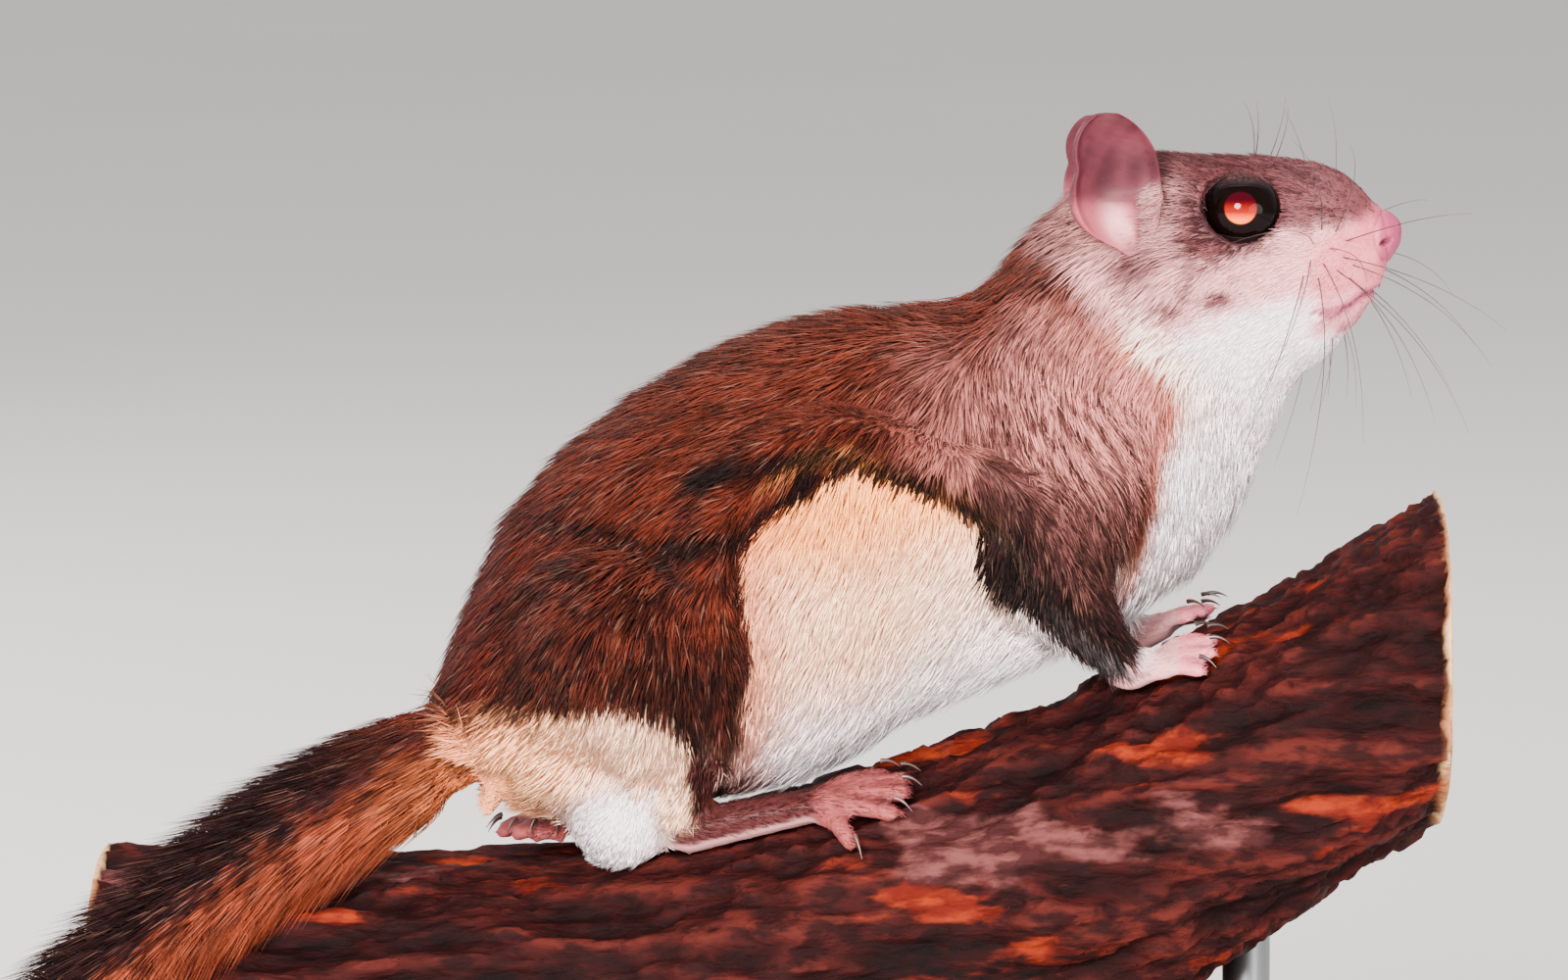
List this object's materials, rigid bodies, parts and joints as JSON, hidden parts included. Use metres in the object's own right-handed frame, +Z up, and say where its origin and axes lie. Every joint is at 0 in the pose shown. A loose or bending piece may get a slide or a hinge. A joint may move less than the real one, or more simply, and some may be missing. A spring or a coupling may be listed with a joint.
{
  "type": "flying squirrel model",
  "caption": "Life-size still model of a flying squirrel crouched on a cut bough, on a plain stand with two short rods.",
  "frame": {"origin": "centre of the underside of the stand base", "axes": "+X the way the animal faces, +Y its left, +Z up"},
  "size_m": [0.2004, 0.0952, 0.1711],
  "materials": {
    "head_fur": "short soft fur, grey-brown above and pink-white below",
    "body_fur": "soft fur, red-brown above and cream below",
    "tail_fur": "long flat fur, dark brown with an orange-brown fringe",
    "pale_fur": "short white fur",
    "bare_skin": "pink bare skin with very short hair",
    "ear_skin": "thin bare skin with fine down",
    "eye": "wet dark eye",
    "claw_horn": "dark horn",
    "bark": "rough dark red-brown bark",
    "stand_finish": "satin black",
    "stand_steel": "brushed"
  },
  "bodies": {
    "root": {"head": "head_fur", "neck": "body_fur", "trunk": "body_fur", "nose": "bare_skin", "tail_base": "tail_fur", "tail_middle": "tail_fur", "tail_end": "tail_fur", "scrotum": "pale_fur", "ear_right": "ear_skin", "eye_right": "eye", "upper_arm_right": "body_fur", "forearm_right": "body_fur", "hand_right": "bare_skin", "thigh_right": "body_fur", "shank_right": "body_fur", "foot_right": "bare_skin", "patagium_right": "body_fur", "ear_left": "ear_skin", "eye_left": "eye", "upper_arm_left": "body_fur", "forearm_left": "body_fur", "hand_left": "bare_skin", "thigh_left": "body_fur", "shank_left": "body_fur", "foot_left": "bare_skin", "patagium_left": "body_fur", "claw_foot_right_1": "claw_horn", "claw_foot_right_2": "claw_horn", "claw_foot_right_3": "claw_horn", "claw_foot_right_4": "claw_horn", "claw_foot_right_5": "claw_horn", "claw_foot_left_1": "claw_horn", "claw_foot_left_2": "claw_horn", "claw_foot_left_3": "claw_horn", "claw_foot_left_4": "claw_horn", "claw_foot_left_5": "claw_horn", "claw_hand_right_1": "claw_horn", "claw_hand_right_2": "claw_horn", "claw_hand_right_3": "claw_horn", "claw_hand_right_4": "claw_horn", "claw_hand_left_1": "claw_horn", "claw_hand_left_2": "claw_horn", "claw_hand_left_3": "claw_horn", "claw_hand_left_4": "claw_horn", "bough": "bark", "stand_base": "stand_finish", "stand_rod_rear": "stand_steel", "stand_rod_front": "stand_steel"}
  },
  "joints": []
}
